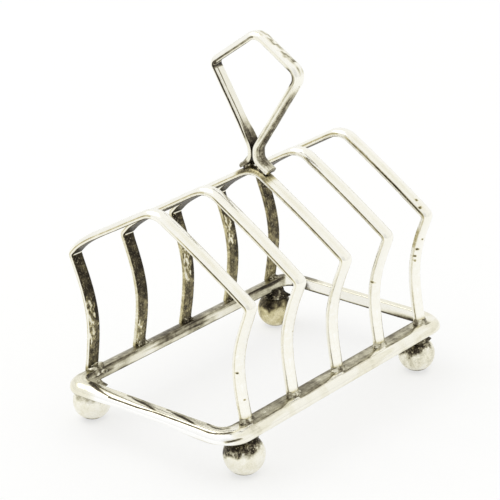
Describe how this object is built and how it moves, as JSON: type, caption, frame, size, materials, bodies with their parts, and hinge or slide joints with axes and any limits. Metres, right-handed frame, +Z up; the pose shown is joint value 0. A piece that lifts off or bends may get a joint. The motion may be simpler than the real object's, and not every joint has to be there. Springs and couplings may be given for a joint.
{
  "type": "toast rack",
  "caption": "Silver toast rack of half-round wire: house-shaped arches stand on an oblong frame with ball feet, and a kite-shaped carrying handle rises from the middle arch.",
  "frame": {"origin": "middle of the footprint, on the surface that the feet stand on", "axes": "+X along the rack, across the slots; +Y across the rack, along each slot; +Z up"},
  "size_m": [0.0972, 0.0636, 0.1028],
  "materials": {
    "frame_silver": "warm polished silver, tarnished brown on the upper and inner sides",
    "arch_silver": "warm polished silver, dark tarnish on the flat inner faces",
    "handle_silver": "warm polished silver with fine scratches",
    "ball_silver": "warm polished silver, speckled tarnish"
  },
  "bodies": {
    "root": {"base_frame": "frame_silver", "arch_1": "arch_silver", "arch_2": "arch_silver", "arch_3": "arch_silver", "arch_4": "arch_silver", "arch_5": "arch_silver", "handle": "handle_silver", "foot_1": "ball_silver", "foot_2": "ball_silver", "foot_3": "ball_silver", "foot_4": "ball_silver"}
  },
  "joints": []
}
